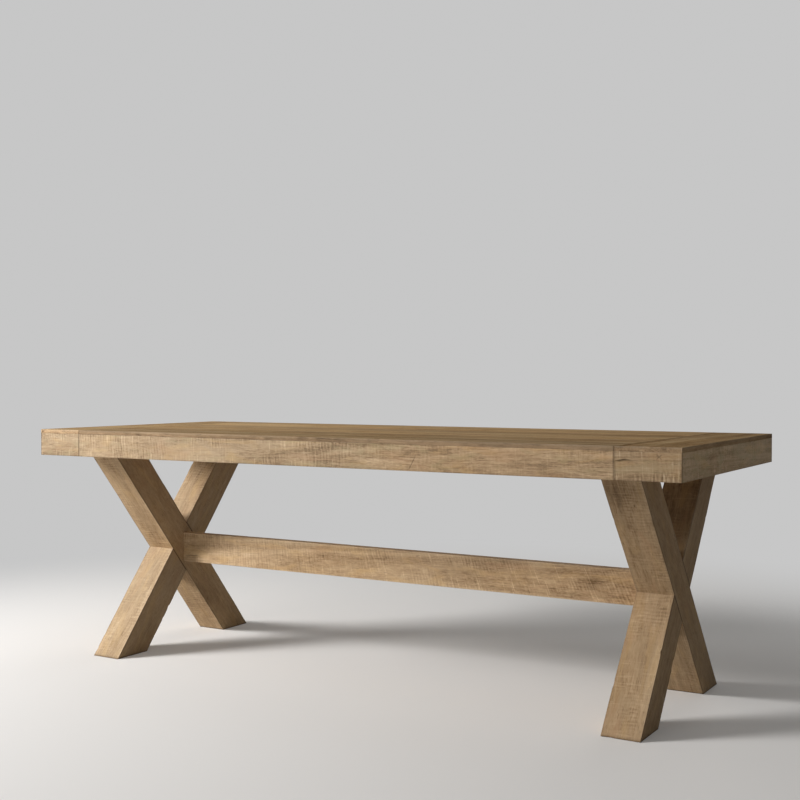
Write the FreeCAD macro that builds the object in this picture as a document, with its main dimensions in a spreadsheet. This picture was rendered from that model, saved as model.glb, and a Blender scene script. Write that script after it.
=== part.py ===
import FreeCAD, Part
import os
import re
import Sketcher

# Sawbuck dining table: a thick-edged plank top on two crossed-leg trestles joined by one stretcher.
# Millimetres. X runs along the table, Y from front to back, Z up, origin on the floor under the middle.

SIZES = {
    "table_length": 2184,
    "table_width": 889,
    "table_height": 762,
    # deck boards and breadboard ends
    "deck_thickness": 13,
    "breadboard_width": 174,
    "tongue_thickness": 4,
    "edge_tongue_reach": 6,
    "end_tongue_reach": 14,
    "end_tongue_setback": 30,
    "tongue_slack": 0.2,
    "groove_relief": 1,
    "edge_ease": 1,
    # fascia and the hidden structure of the top
    "fascia_depth": 73,
    "fascia_thickness": 28,
    "core_thickness": 18,
    "cleat_section": 22,
    "batten_width": 60,
    "batten_depth": 40,
    "block_rise": 7,
    "corner_block_leg": 50,
    "seam_block_length": 90,
    "seam_block_thickness": 16,
    # trestles
    "trestle_inset": 192,
    "leg_width": 110,
    "leg_depth": 110,
    "crossing_height": 335,
    "rail_depth": 40,
    "rail_overhang": 29,
    "rail_end_gap": 2,
    "tenon_thickness": 40,
    "tenon_reach": 25,
    "tenon_shoulder": 18,
    # stretcher
    "stretcher_height": 102,
    "stretcher_thickness": 33,
    "stub_length": 25,
    "stub_shoulder": 16,
    "stub_cheek": 6.5,
    "nut_pocket_start": 45,
    "nut_pocket_length": 32,
    "nut_pocket_height": 28,
    # clearances that the mating pieces share
    "mortise_slack": 0.4,
    "mortise_relief": 1,
    "bolt_clearance": 1,
    "thread_fit": 0.2,
    "tool_room": 1.5,
    # wood screws in the cleats and the battens
    "screw_diameter": 4,
    "screw_head_diameter": 8,
    "screw_head_height": 3,
    "screw_tip": 4,
    "screw_bite": 13,
    "screw_end_margin": 150,
    "end_screw_margin": 100,
    # lag screws from the rails into the legs
    "lag_diameter": 8,
    "lag_head_diameter": 16,
    "lag_head_height": 5,
    "lag_seat": 8,
    "lag_tip": 8,
    "lag_bite": 48,
    # bolts that hold the top to the rails, and the studs that hold the stretcher
    "bolt_diameter": 8,
    "bolt_flats": 13,
    "bolt_head_height": 5.3,
    "bolt_along": 300,
    "bolt_across": 60,
    "bolt_tip_gap": 2,
    "washer_diameter": 17,
    "washer_thickness": 1.6,
    "nut_height": 6.5,
    "insert_diameter": 12,
    "insert_cover": 3,
    "stud_far_bite": 25,
    "stud_proud": 4,
}

DECK_BOARDS = 6
LONG_CLEAT_SCREWS = 6
END_CLEAT_SCREWS = 3
BATTEN_SCREWS = 4

# Heights of the layers of the top, from the deck down
DECK_Z = "(table_height - deck_thickness)"
CORE_Z = f"({DECK_Z} - core_thickness)"
CLEAT_Z = f"({CORE_Z} - cleat_section)"
BATTEN_Z = f"({CORE_Z} - batten_depth)"
RAIL_Z = f"({CORE_Z} - rail_depth)"
FASCIA_Z = f"({DECK_Z} - fascia_depth)"
BLOCK_Z = f"({FASCIA_Z} + block_rise)"

# Plan of the top
BOARD_LENGTH = "(table_length - 2 * breadboard_width)"
BOARD_WIDTH = f"(table_width / {DECK_BOARDS})"
GROOVE_DEPTH = "(edge_tongue_reach + groove_relief)"
INNER_X = "(table_length / 2 - fascia_thickness)"
INNER_Y = "(table_width / 2 - fascia_thickness)"
SEAM_X = "(table_length / 2 - breadboard_width)"
CLEAT_Y = f"({INNER_Y} - cleat_section / 2)"
CLEAT_X = f"({INNER_X} - cleat_section / 2)"
END_CLEAT_LENGTH = f"(2 * {INNER_Y} - 2 * cleat_section)"
RAIL_LENGTH = f"({END_CLEAT_LENGTH} - 2 * rail_end_gap)"

# Trestle geometry, measured from the crossing: the splay brings each leg's top edge to the rail's overhang
TRESTLE_X = "(table_length / 2 - trestle_inset)"
BATTEN_X = f"({TRESTLE_X} / 3)"
LEG_RISE = f"({RAIL_Z} - crossing_height)"
LEG_REACH = f"({RAIL_LENGTH} / 2 - rail_overhang)"
SPLAY = (
    f"(acos(leg_depth / 2 / sqrt({LEG_REACH} ^ 2 + {LEG_RISE} ^ 2))"
    f" - atan({LEG_RISE} / {LEG_REACH}))"
)
LEG_HALF = f"(leg_depth / 2 / cos({SPLAY}))"
LEG_TOP_Y = f"({LEG_RISE} * tan({SPLAY}))"
LAG_X = "(tenon_thickness / 4 + leg_width / 4)"
INNER_FACE_X = f"({TRESTLE_X} - leg_width / 2)"

# Fastener lengths that follow the pieces they pass through
CLEAT_SCREW_LENGTH = "(cleat_section + screw_bite)"
BATTEN_SCREW_LENGTH = "(batten_depth + screw_bite)"
LAG_LENGTH = "(rail_depth - lag_seat + lag_bite)"
INSERT_LENGTH = "(core_thickness - insert_cover)"
BOLT_LENGTH = f"(washer_thickness + rail_depth + {INSERT_LENGTH} - bolt_tip_gap)"
STUD_LENGTH = (
    "(stud_far_bite + leg_width / 2 + nut_pocket_start + washer_thickness + nut_height + stud_proud)"
)

SIDES = {"left": -1, "right": 1}
FACES = {"front": -1, "back": 1}


def spread(count, span):
    """Positions spaced evenly over a span that is centred on zero."""
    return [f"({i / (count - 1) - 0.5} * {span})" for i in range(count)]


def between(count, span):
    """Positions half-way between the ones that spread gives."""
    return [f"({(i + 0.5) / (count - 1) - 0.5} * {span})" for i in range(count - 1)]


# Places that several pieces share
LONG_SPAN = f"(2 * {INNER_X} - 2 * screw_end_margin)"
LONG_SCREW_X = spread(LONG_CLEAT_SCREWS, LONG_SPAN)
FASCIA_SCREW_X = between(LONG_CLEAT_SCREWS, LONG_SPAN)
RETURN_SCREW_X = "(table_length / 2 - breadboard_width / 2)"
END_SPAN = f"({END_CLEAT_LENGTH} - 2 * end_screw_margin)"
END_SCREW_Y = spread(END_CLEAT_SCREWS, END_SPAN)
END_FASCIA_SCREW_Y = between(END_CLEAT_SCREWS, END_SPAN)
BATTEN_SCREW_Y = spread(BATTEN_SCREWS, f"({RAIL_LENGTH} - 2 * end_screw_margin)")
BOLT_SPOTS = [
    (f"{x} * bolt_across / 2", f"{y} * bolt_along / 2") for x in SIDES.values() for y in FACES.values()
]
LAG_SPOTS = [(f"{x} * {LAG_X}", f"{y} * {LEG_TOP_Y}") for x in SIDES.values() for y in FACES.values()]

UPWARD = FreeCAD.Rotation()
DOWNWARD = FreeCAD.Rotation(FreeCAD.Vector(1, 0, 0), 180)
FRONTWARD = FreeCAD.Rotation(FreeCAD.Vector(1, 0, 0), 90)
BACKWARD = FreeCAD.Rotation(FreeCAD.Vector(1, 0, 0), -90)
RIGHTWARD = FreeCAD.Rotation(FreeCAD.Vector(0, 1, 0), 90)
LEFTWARD = FreeCAD.Rotation(FreeCAD.Vector(0, 1, 0), -90)
HALF_TURN = FreeCAD.Rotation(FreeCAD.Vector(0, 0, 1), 180)

doc = FreeCAD.newDocument("sawbuck_table")
sheet = doc.addObject("Spreadsheet::Sheet", "Sizes")
for row, (alias, value) in enumerate(SIZES.items(), 1):
    sheet.set(f"A{row}", alias)
    sheet.set(f"B{row}", str(value))
    sheet.setAlias(f"B{row}", alias)
doc.recompute()

nodes = []


def tied(text):
    """An expression whose size names, the words with an underscore, read the sheet."""
    return re.sub(r"\b[a-z]+(?:_[a-z]+)+\b", r"Sizes.\g<0>", text)


def measure(text):
    return float(sheet.evalExpression(tied(text)))


def bind(thing, prop, text):
    thing.setExpression(prop, tied(text))


def place(thing, x="0", y="0", z="0", turn=UPWARD):
    thing.Placement = FreeCAD.Placement(FreeCAD.Vector(), turn)
    for axis, text in zip("xyz", (x, y, z)):
        bind(thing, f"Placement.Base.{axis}", text)


def new_body(label):
    body = doc.addObject("PartDesign::Body", label)
    body.Label = label
    nodes.append(body)
    return body


def new_sketch(body, plane, offset="0"):
    """A sketch on one of the body's origin planes, shifted along that plane's normal."""
    support = next(item for item in body.Origin.OriginFeatures if item.Role == plane)
    sketch = body.newObject("Sketcher::SketchObject", f"{body.Name}_sketch")
    sketch.AttachmentSupport = [(support, "")]
    sketch.MapMode = "FlatFace"
    bind(sketch, "AttachmentOffset.Base.z", offset)
    return sketch


def pin_point(sketch, geometry, point, u, v):
    for kind, text in (("DistanceX", u), ("DistanceY", v)):
        index = sketch.addConstraint(Sketcher.Constraint(kind, -1, 1, geometry, point, measure(text)))
        bind(sketch, f"Constraints[{index}]", text)


def add_outline(sketch, corners):
    """A closed run of straight lines through corners given as pairs of expressions."""
    spots = [FreeCAD.Vector(measure(u), measure(v), 0) for u, v in corners]
    count = len(corners)
    first = sketch.GeometryCount
    for i in range(count):
        sketch.addGeometry(Part.LineSegment(spots[i], spots[(i + 1) % count]))
    for i in range(count):
        sketch.addConstraint(Sketcher.Constraint("Coincident", first + i, 2, first + (i + 1) % count, 1))
    for i, (u, v) in enumerate(corners):
        pin_point(sketch, first + i, 1, u, v)


def add_rectangle(sketch, u_low, u_high, v_low, v_high):
    add_outline(sketch, [(u_low, v_low), (u_high, v_low), (u_high, v_high), (u_low, v_high)])


def add_circles(sketch, spots, diameter):
    for u, v in spots:
        centre = FreeCAD.Vector(measure(u), measure(v), 0)
        circle = Part.Circle(centre, FreeCAD.Vector(0, 0, 1), measure(diameter) / 2)
        geometry = sketch.addGeometry(circle)
        pin_point(sketch, geometry, 3, u, v)
        index = sketch.addConstraint(Sketcher.Constraint("Diameter", geometry, measure(diameter)))
        bind(sketch, f"Constraints[{index}]", diameter)


def pad(body, sketch, length, midplane=False):
    feature = body.newObject("PartDesign::Pad", f"{body.Name}_pad")
    feature.Profile = sketch
    feature.Midplane = midplane
    bind(feature, "Length", length)
    doc.recompute()


def pocket(body, sketch, length, along_normal=False, midplane=False):
    """Cuts against the sketch's normal, or along it, and checks that it took wood away."""
    before = body.Shape.Volume
    feature = body.newObject("PartDesign::Pocket", f"{body.Name}_pocket")
    feature.Profile = sketch
    feature.Midplane = midplane
    feature.Reversed = along_normal
    bind(feature, "Length", length)
    doc.recompute()
    if body.Shape.Volume >= before:
        raise RuntimeError(f"{feature.Name} cuts nothing")


def drill(body, plane, offset, spots, diameter, length, along_normal=False):
    sketch = new_sketch(body, plane, offset)
    add_circles(sketch, spots, diameter)
    pocket(body, sketch, length, along_normal)


def block(label, x_size, y_size, z_size):
    """A plain rectangular board, centred in plan and standing on its own base plane."""
    body = new_body(label)
    sketch = new_sketch(body, "XY_Plane")
    add_rectangle(sketch, f"-{x_size} / 2", f"{x_size} / 2", f"-{y_size} / 2", f"{y_size} / 2")
    pad(body, sketch, z_size)
    return body


def deck_board(number):
    """One tongue-and-groove board, with end tongues that stop short of the table's long edges."""
    body = new_body(f"deck_board_{number}")
    grooved = number > 1
    tongued = number < DECK_BOARDS
    half = f"({BOARD_WIDTH} / 2)"
    mid = "(deck_thickness / 2)"
    slot = "((tongue_thickness + tongue_slack) / 2)"
    corners = [(f"-{half}", "0"), (half, "0")]
    if tongued:
        corners += [
            (half, f"{mid} - tongue_thickness / 2"),
            (f"{half} + edge_tongue_reach", f"{mid} - tongue_thickness / 2"),
            (f"{half} + edge_tongue_reach", f"{mid} + tongue_thickness / 2"),
            (half, f"{mid} + tongue_thickness / 2"),
        ]
    corners += [
        (half, "deck_thickness - edge_ease"),
        (f"{half} - edge_ease", "deck_thickness"),
        (f"edge_ease - {half}", "deck_thickness"),
        (f"-{half}", "deck_thickness - edge_ease"),
    ]
    if grooved:
        corners += [
            (f"-{half}", f"{mid} + {slot}"),
            (f"{GROOVE_DEPTH} - {half}", f"{mid} + {slot}"),
            (f"{GROOVE_DEPTH} - {half}", f"{mid} - {slot}"),
            (f"-{half}", f"{mid} - {slot}"),
        ]
    profile = new_sketch(body, "YZ_Plane")
    add_outline(profile, corners)
    pad(body, profile, BOARD_LENGTH, midplane=True)
    front_stop = GROOVE_DEPTH if grooved else "end_tongue_setback"
    back_stop = "0" if tongued else "end_tongue_setback"
    tongue = new_sketch(body, "YZ_Plane")
    add_rectangle(
        tongue,
        f"{front_stop} - {half}",
        f"{half} - {back_stop}",
        f"{mid} - tongue_thickness / 2",
        f"{mid} + tongue_thickness / 2",
    )
    pad(body, tongue, f"{BOARD_LENGTH} + 2 * end_tongue_reach", midplane=True)
    place(body, y=f"({number} - 0.5) * {BOARD_WIDTH} - table_width / 2", z=DECK_Z)


def breadboard(side):
    """A cross board with a stopped groove for the end tongues, drawn as the right-hand one."""
    body = new_body(f"breadboard_{side}")
    half = "(breadboard_width / 2)"
    profile = new_sketch(body, "XZ_Plane")
    add_outline(profile, [
        (f"-{half}", "0"),
        (half, "0"),
        (half, "deck_thickness - edge_ease"),
        (f"{half} - edge_ease", "deck_thickness"),
        (f"edge_ease - {half}", "deck_thickness"),
        (f"-{half}", "deck_thickness - edge_ease"),
    ])
    pad(body, profile, "table_width", midplane=True)
    slot = "((tongue_thickness + tongue_slack) / 2)"
    groove = new_sketch(body, "XZ_Plane")
    add_rectangle(
        groove,
        f"-{half}",
        f"end_tongue_reach + groove_relief - {half}",
        f"deck_thickness / 2 - {slot}",
        f"deck_thickness / 2 + {slot}",
    )
    pocket(body, groove, "table_width - 2 * end_tongue_setback + tongue_slack", midplane=True)
    centre = "(table_length / 2 - breadboard_width / 2)"
    place(body, f"{SIDES[side]} * {centre}", "0", DECK_Z, UPWARD if side == "right" else HALF_TURN)


def fascia_long(face):
    """The long edge board under the deck, eased where it meets the returns."""
    body = new_body(f"fascia_{face}")
    half = f"({BOARD_LENGTH} / 2)"
    plan = new_sketch(body, "XY_Plane")
    add_outline(plan, [
        (f"edge_ease - {half}", "0"),
        (f"{half} - edge_ease", "0"),
        (half, "edge_ease"),
        (half, "fascia_thickness"),
        (f"-{half}", "fascia_thickness"),
        (f"-{half}", "edge_ease"),
    ])
    pad(body, plan, "fascia_depth")
    spots = [(x, f"{CLEAT_Z} + cleat_section / 2 - {FASCIA_Z}") for x in FASCIA_SCREW_X]
    drill(body, "XZ_Plane", "-fascia_thickness", spots, "screw_diameter + thread_fit", "screw_bite", True)
    turn = UPWARD if face == "front" else HALF_TURN
    place(body, "0", f"{FACES[face]} * table_width / 2", FASCIA_Z, turn)


def fascia_return(face, side):
    """A short edge board at a corner, mitred to the end fascia."""
    body = new_body(f"fascia_return_{face}_{side}")
    x_sign = SIDES[side]
    y_sign = FACES[face]
    plan = new_sketch(body, "XY_Plane")
    add_outline(plan, [
        (f"{x_sign} * {SEAM_X}", f"{y_sign} * (table_width / 2 - edge_ease)"),
        (f"{x_sign} * ({SEAM_X} + edge_ease)", f"{y_sign} * table_width / 2"),
        (f"{x_sign} * table_length / 2", f"{y_sign} * table_width / 2"),
        (f"{x_sign} * {INNER_X}", f"{y_sign} * {INNER_Y}"),
        (f"{x_sign} * {SEAM_X}", f"{y_sign} * {INNER_Y}"),
    ])
    pad(body, plan, "fascia_depth")
    height = f"{CLEAT_Z} + cleat_section / 2 - {FASCIA_Z}"
    spots = [(f"{x_sign} * {RETURN_SCREW_X}", height)]
    offset = f"-1 * {y_sign} * {INNER_Y}"
    drill(body, "XZ_Plane", offset, spots, "screw_diameter + thread_fit", "screw_bite", y_sign < 0)
    place(body, z=FASCIA_Z)


def fascia_end(side):
    """The edge board across one end, mitred at both corners, drawn as the right-hand one."""
    body = new_body(f"fascia_end_{side}")
    plan = new_sketch(body, "XY_Plane")
    add_outline(plan, [
        ("table_length / 2", "-table_width / 2"),
        ("table_length / 2", "table_width / 2"),
        (INNER_X, INNER_Y),
        (INNER_X, f"-{INNER_Y}"),
    ])
    pad(body, plan, "fascia_depth")
    spots = [(y, f"{CLEAT_Z} + cleat_section / 2 - {FASCIA_Z}") for y in END_FASCIA_SCREW_Y]
    drill(body, "YZ_Plane", INNER_X, spots, "screw_diameter + thread_fit", "screw_bite", True)
    place(body, z=FASCIA_Z, turn=UPWARD if side == "right" else HALF_TURN)


def core_panel():
    """The panel that carries the deck, bored from below for the inserts and the screws."""
    body = block("core_panel", f"(2 * {INNER_X})", f"(2 * {INNER_Y})", "core_thickness")
    inserts = [(f"{side} * {TRESTLE_X} + {x}", y) for side in SIDES.values() for x, y in BOLT_SPOTS]
    drill(body, "XY_Plane", "0", inserts, "insert_diameter + thread_fit", INSERT_LENGTH, True)
    pilots = [(x, f"{face} * {CLEAT_Y}") for face in FACES.values() for x in LONG_SCREW_X]
    pilots += [(f"{side} * {CLEAT_X}", y) for side in SIDES.values() for y in END_SCREW_Y]
    pilots += [(f"{side} * {BATTEN_X}", y) for side in SIDES.values() for y in BATTEN_SCREW_Y]
    drill(body, "XY_Plane", "0", pilots, "screw_diameter + thread_fit", "screw_bite", True)
    place(body, z=CORE_Z)


def screw_holes(body, plane, offset, spots, through, along_normal):
    """Clearance holes with a seat for the head, from the face where the screws go in."""
    drill(body, plane, offset, spots, "screw_diameter + thread_fit", through, along_normal)
    seat = "screw_head_diameter + bolt_clearance"
    drill(body, plane, offset, spots, seat, "screw_head_height", along_normal)


def long_cleat(face):
    """The strip that holds a long fascia and its returns to the core panel, drawn as the front one."""
    body = block(f"cleat_{face}", f"(2 * {INNER_X})", "cleat_section", "cleat_section")
    upright = [(x, "0") for x in LONG_SCREW_X]
    screw_holes(body, "XY_Plane", "0", upright, "cleat_section", True)
    level = [(x, "cleat_section / 2") for x in FASCIA_SCREW_X]
    level += [(f"{sign} * {RETURN_SCREW_X}", "cleat_section / 2") for sign in SIDES.values()]
    screw_holes(body, "XZ_Plane", "-cleat_section / 2", level, "cleat_section", True)
    turn = UPWARD if face == "front" else HALF_TURN
    place(body, "0", f"{FACES[face]} * {CLEAT_Y}", CLEAT_Z, turn)


def end_cleat(side):
    """The strip that holds an end fascia to the core panel, drawn as the right-hand one."""
    body = block(f"cleat_end_{side}", "cleat_section", END_CLEAT_LENGTH, "cleat_section")
    screw_holes(body, "XY_Plane", "0", [("0", y) for y in END_SCREW_Y], "cleat_section", True)
    level = [(y, "cleat_section / 2") for y in END_FASCIA_SCREW_Y]
    screw_holes(body, "YZ_Plane", "-cleat_section / 2", level, "cleat_section", True)
    place(body, f"{SIDES[side]} * {CLEAT_X}", "0", CLEAT_Z, UPWARD if side == "right" else HALF_TURN)


def cross_batten(side):
    body = block(f"cross_batten_{side}", "batten_width", RAIL_LENGTH, "batten_depth")
    screw_holes(body, "XY_Plane", "0", [("0", y) for y in BATTEN_SCREW_Y], "batten_depth", True)
    place(body, f"{SIDES[side]} * {BATTEN_X}", "0", BATTEN_Z)


def corner_block(face, side):
    """A three-cornered glue block behind a mitre."""
    body = new_body(f"corner_block_{face}_{side}")
    x_sign = SIDES[side]
    y_sign = FACES[face]
    plan = new_sketch(body, "XY_Plane")
    add_outline(plan, [
        ("0", "0"),
        (f"-1 * {x_sign} * corner_block_leg", "0"),
        ("0", f"-1 * {y_sign} * corner_block_leg"),
    ])
    pad(body, plan, f"{CLEAT_Z} - {BLOCK_Z}")
    place(body, f"{x_sign} * {INNER_X}", f"{y_sign} * {INNER_Y}", BLOCK_Z)


def seam_block(face, side):
    """A glue block that bridges the butt seam between a long fascia and its return."""
    label = f"seam_block_{face}_{side}"
    body = block(label, "seam_block_length", "seam_block_thickness", f"({CLEAT_Z} - {BLOCK_Z})")
    y = f"{FACES[face]} * ({INNER_Y} - seam_block_thickness / 2)"
    place(body, f"{SIDES[side]} * {SEAM_X}", y, BLOCK_Z)


def top_rail(side):
    """The rail on top of a trestle: two leg mortises below, lag screw seats above, bolt holes through."""
    body = block(f"top_rail_{side}", "leg_width", RAIL_LENGTH, "rail_depth")
    mortises = new_sketch(body, "XY_Plane")
    across = "((tenon_thickness + mortise_slack) / 2)"
    along = f"({LEG_HALF} - tenon_shoulder + mortise_slack / 2)"
    for sign in FACES.values():
        centre = f"{sign} * {LEG_TOP_Y}"
        add_rectangle(mortises, f"-{across}", across, f"{centre} - {along}", f"{centre} + {along}")
    pocket(body, mortises, "tenon_reach + mortise_relief", along_normal=True)
    drill(body, "XY_Plane", "0", BOLT_SPOTS, "bolt_diameter + bolt_clearance", "rail_depth", True)
    drill(body, "XY_Plane", "0", LAG_SPOTS, "lag_diameter + thread_fit", "rail_depth", True)
    drill(body, "XY_Plane", "rail_depth", LAG_SPOTS, "lag_head_diameter + bolt_clearance", "lag_seat")
    place(body, f"{SIDES[side]} * {TRESTLE_X}", "0", RAIL_Z)


def leg_edges(lean):
    """The four corners of a leg seen along the table. Lean 1 runs from the front foot up to the back."""
    foot = f"{lean} * -crossing_height * tan({SPLAY})"
    top = f"{lean} * {LEG_TOP_Y}"
    return [
        (f"{foot} - {LEG_HALF}", "-crossing_height"),
        (f"{foot} + {LEG_HALF}", "-crossing_height"),
        (f"{top} + {LEG_HALF}", LEG_RISE),
        (f"{top} - {LEG_HALF}", LEG_RISE),
    ]


def leg(side, foot):
    """A crossed leg, named by where its foot stands. The front-footed leg is whole on the left face of
    the lap, the back-footed leg on the right face, and the one whose whole face looks towards the
    middle of the table takes the stretcher's mortise."""
    body = new_body(f"leg_{side}_{foot}")
    lean = -FACES[foot]
    profile = new_sketch(body, "YZ_Plane")
    add_outline(profile, leg_edges(lean))
    pad(body, profile, "leg_width", midplane=True)
    tenon = new_sketch(body, "YZ_Plane")
    centre = f"{lean} * {LEG_TOP_Y}"
    along = f"({LEG_HALF} - tenon_shoulder)"
    tip = f"{LEG_RISE} + tenon_reach"
    add_rectangle(tenon, f"{centre} - {along}", f"{centre} + {along}", LEG_RISE, tip)
    pad(body, tenon, "tenon_thickness", midplane=True)
    lap = new_sketch(body, "YZ_Plane")
    add_outline(lap, leg_edges(-lean))
    pocket(body, lap, "leg_width / 2", along_normal=foot == "front")
    whole_side = -1 if foot == "front" else 1
    takes_stretcher = whole_side == -SIDES[side]
    outward = whole_side > 0
    bore = "stud_far_bite"
    if takes_stretcher:
        bore = "leg_width / 2"
        mortise = new_sketch(body, "YZ_Plane", f"{whole_side} * leg_width / 2")
        across = "(stretcher_thickness / 2 - stub_cheek + mortise_slack / 2)"
        upright = "(stretcher_height / 2 - stub_shoulder + mortise_slack / 2)"
        add_rectangle(mortise, f"-{across}", across, f"-{upright}", upright)
        pocket(body, mortise, "stub_length + mortise_relief", along_normal=not outward)
    drill(body, "YZ_Plane", "0", [("0", "0")], "bolt_diameter + thread_fit", bore, outward)
    lags = [(f"{sign} * {LAG_X}", centre) for sign in SIDES.values()]
    drill(body, "XY_Plane", LEG_RISE, lags, "lag_diameter + thread_fit", "lag_bite")
    place(body, f"{SIDES[side]} * {TRESTLE_X}", "0", "crossing_height")


def stretcher():
    """A plank on edge with a stub tenon, a stud bore and a nut pocket at each end."""
    body = new_body("stretcher")
    half = INNER_FACE_X
    section = new_sketch(body, "YZ_Plane")
    thick = "(stretcher_thickness / 2)"
    high = "(stretcher_height / 2)"
    add_rectangle(section, f"-{thick}", thick, f"-{high}", high)
    pad(body, section, f"2 * {half}", midplane=True)
    stub = new_sketch(body, "YZ_Plane")
    cheek = f"({thick} - stub_cheek)"
    shoulder = f"({high} - stub_shoulder)"
    add_rectangle(stub, f"-{cheek}", cheek, f"-{shoulder}", shoulder)
    pad(body, stub, f"2 * {half} + 2 * stub_length", midplane=True)
    for sign in SIDES.values():
        end = f"{sign} * ({half} + stub_length)"
        depth = "stub_length + nut_pocket_start"
        drill(body, "YZ_Plane", end, [("0", "0")], "bolt_diameter + bolt_clearance", depth, sign < 0)
    pockets = new_sketch(body, "XZ_Plane", "washer_diameter / 2 + tool_room")
    for sign in SIDES.values():
        add_rectangle(
            pockets,
            f"{sign} * ({half} - nut_pocket_start - nut_pocket_length)",
            f"{sign} * ({half} - nut_pocket_start)",
            "-nut_pocket_height / 2",
            "nut_pocket_height / 2",
        )
    pocket(body, pockets, f"washer_diameter / 2 + tool_room + {thick}")
    place(body, z="crossing_height")


def turned_screw(name, diameter, head_diameter, head_height, length, tip):
    """A wood screw turned about its own axis, head down, with its length measured under the head's face."""
    body = doc.addObject("PartDesign::Body", name)
    profile = new_sketch(body, "XZ_Plane")
    add_outline(profile, [
        ("0", "0"),
        (f"{head_diameter} / 2", "0"),
        (f"{head_diameter} / 2", head_height),
        (f"{diameter} / 2", head_height),
        (f"{diameter} / 2", f"{length} - {tip}"),
        ("0", length),
    ])
    turned = body.newObject("PartDesign::Revolution", f"{name}_turned")
    turned.Profile = profile
    turned.ReferenceAxis = (profile, ["V_Axis"])
    turned.Angle = 360
    doc.recompute()
    return body


def cylinder(name, diameter, height):
    solid = doc.addObject("Part::Cylinder", name)
    bind(solid, "Radius", f"({diameter}) / 2")
    bind(solid, "Height", height)
    return solid


def hexagon(name, flats, height):
    solid = doc.addObject("Part::Prism", name)
    solid.Polygon = 6
    bind(solid, "Circumradius", f"{flats} / 2 / cos(30 deg)")
    bind(solid, "Height", height)
    return solid


def ring(name, outer, inner, height):
    """A tube or washer standing on its own base plane."""
    cut = doc.addObject("Part::Cut", name)
    cut.Base = cylinder(f"{name}_outer", outer, height)
    cut.Tool = cylinder(f"{name}_inner", inner, height)
    return cut


def hex_bolt(name):
    """A bolt pointing up, with the underside of its head on its own base plane."""
    head = hexagon(f"{name}_head", "bolt_flats", "bolt_head_height")
    place(head, z="-bolt_head_height")
    bolt = doc.addObject("Part::Fuse", name)
    bolt.Base = head
    bolt.Tool = cylinder(f"{name}_shank", "bolt_diameter", BOLT_LENGTH)
    return bolt


def hex_nut(name):
    nut = doc.addObject("Part::Cut", name)
    nut.Base = hexagon(f"{name}_body", "bolt_flats", "nut_height")
    nut.Tool = cylinder(f"{name}_bore", "bolt_diameter + thread_fit", "nut_height")
    return nut


def fastener_group(label, master, spots):
    """Copies of one fastener, each a solid of its own, at spots given as x, y, z and a direction."""
    links = []
    for x, y, z, turn in spots:
        link = doc.addObject("App::Link", f"{label}_copy")
        link.LinkedObject = master
        place(link, x, y, z, turn)
        links.append(link)
    group = doc.addObject("Part::Compound", label)
    group.Label = label
    group.Links = links
    nodes.append(group)


def cleat_screws():
    """The screws up into the core panel and outward into the fascia boards."""
    screw = turned_screw(
        "cleat_screw", "screw_diameter", "screw_head_diameter", "screw_head_height",
        CLEAT_SCREW_LENGTH, "screw_tip",
    )
    level = f"{CLEAT_Z} + cleat_section / 2"
    inner_y = f"({INNER_Y} - cleat_section)"
    inner_x = f"({INNER_X} - cleat_section)"
    spots = []
    for face, outward in ((-1, FRONTWARD), (1, BACKWARD)):
        spots += [(x, f"{face} * {CLEAT_Y}", CLEAT_Z, UPWARD) for x in LONG_SCREW_X]
        spots += [(x, f"{face} * {inner_y}", level, outward) for x in FASCIA_SCREW_X]
        for side in SIDES.values():
            spots.append((f"{side} * {RETURN_SCREW_X}", f"{face} * {inner_y}", level, outward))
    for side, outward in ((-1, LEFTWARD), (1, RIGHTWARD)):
        spots += [(f"{side} * {CLEAT_X}", y, CLEAT_Z, UPWARD) for y in END_SCREW_Y]
        spots += [(f"{side} * {inner_x}", y, level, outward) for y in END_FASCIA_SCREW_Y]
    fastener_group("cleat_screws", screw, spots)


def batten_screws():
    screw = turned_screw(
        "batten_screw", "screw_diameter", "screw_head_diameter", "screw_head_height",
        BATTEN_SCREW_LENGTH, "screw_tip",
    )
    spots = [
        (f"{side} * {BATTEN_X}", y, BATTEN_Z, UPWARD)
        for side in SIDES.values() for y in BATTEN_SCREW_Y
    ]
    fastener_group("batten_screws", screw, spots)


def lag_screws():
    screw = turned_screw(
        "lag_screw", "lag_diameter", "lag_head_diameter", "lag_head_height", LAG_LENGTH, "lag_tip",
    )
    spots = [
        (f"{side} * {TRESTLE_X} + {x}", y, f"{CORE_Z} - lag_seat + lag_head_height", DOWNWARD)
        for side in SIDES.values() for x, y in LAG_SPOTS
    ]
    fastener_group("leg_lag_screws", screw, spots)


def rail_bolts():
    """Bolts up through the rails, a washer under each head and a threaded insert in the core panel."""
    plan = [(f"{side} * {TRESTLE_X} + {x}", y) for side in SIDES.values() for x, y in BOLT_SPOTS]
    washer_z = f"({RAIL_Z} - washer_thickness)"
    fastener_group("rail_bolts", hex_bolt("rail_bolt"), [(x, y, washer_z, UPWARD) for x, y in plan])
    washer = ring("rail_washer", "washer_diameter", "bolt_diameter + thread_fit", "washer_thickness")
    fastener_group("rail_washers", washer, [(x, y, washer_z, UPWARD) for x, y in plan])
    insert = ring("insert", "insert_diameter", "bolt_diameter + thread_fit", INSERT_LENGTH)
    fastener_group("threaded_inserts", insert, [(x, y, CORE_Z, UPWARD) for x, y in plan])


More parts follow.
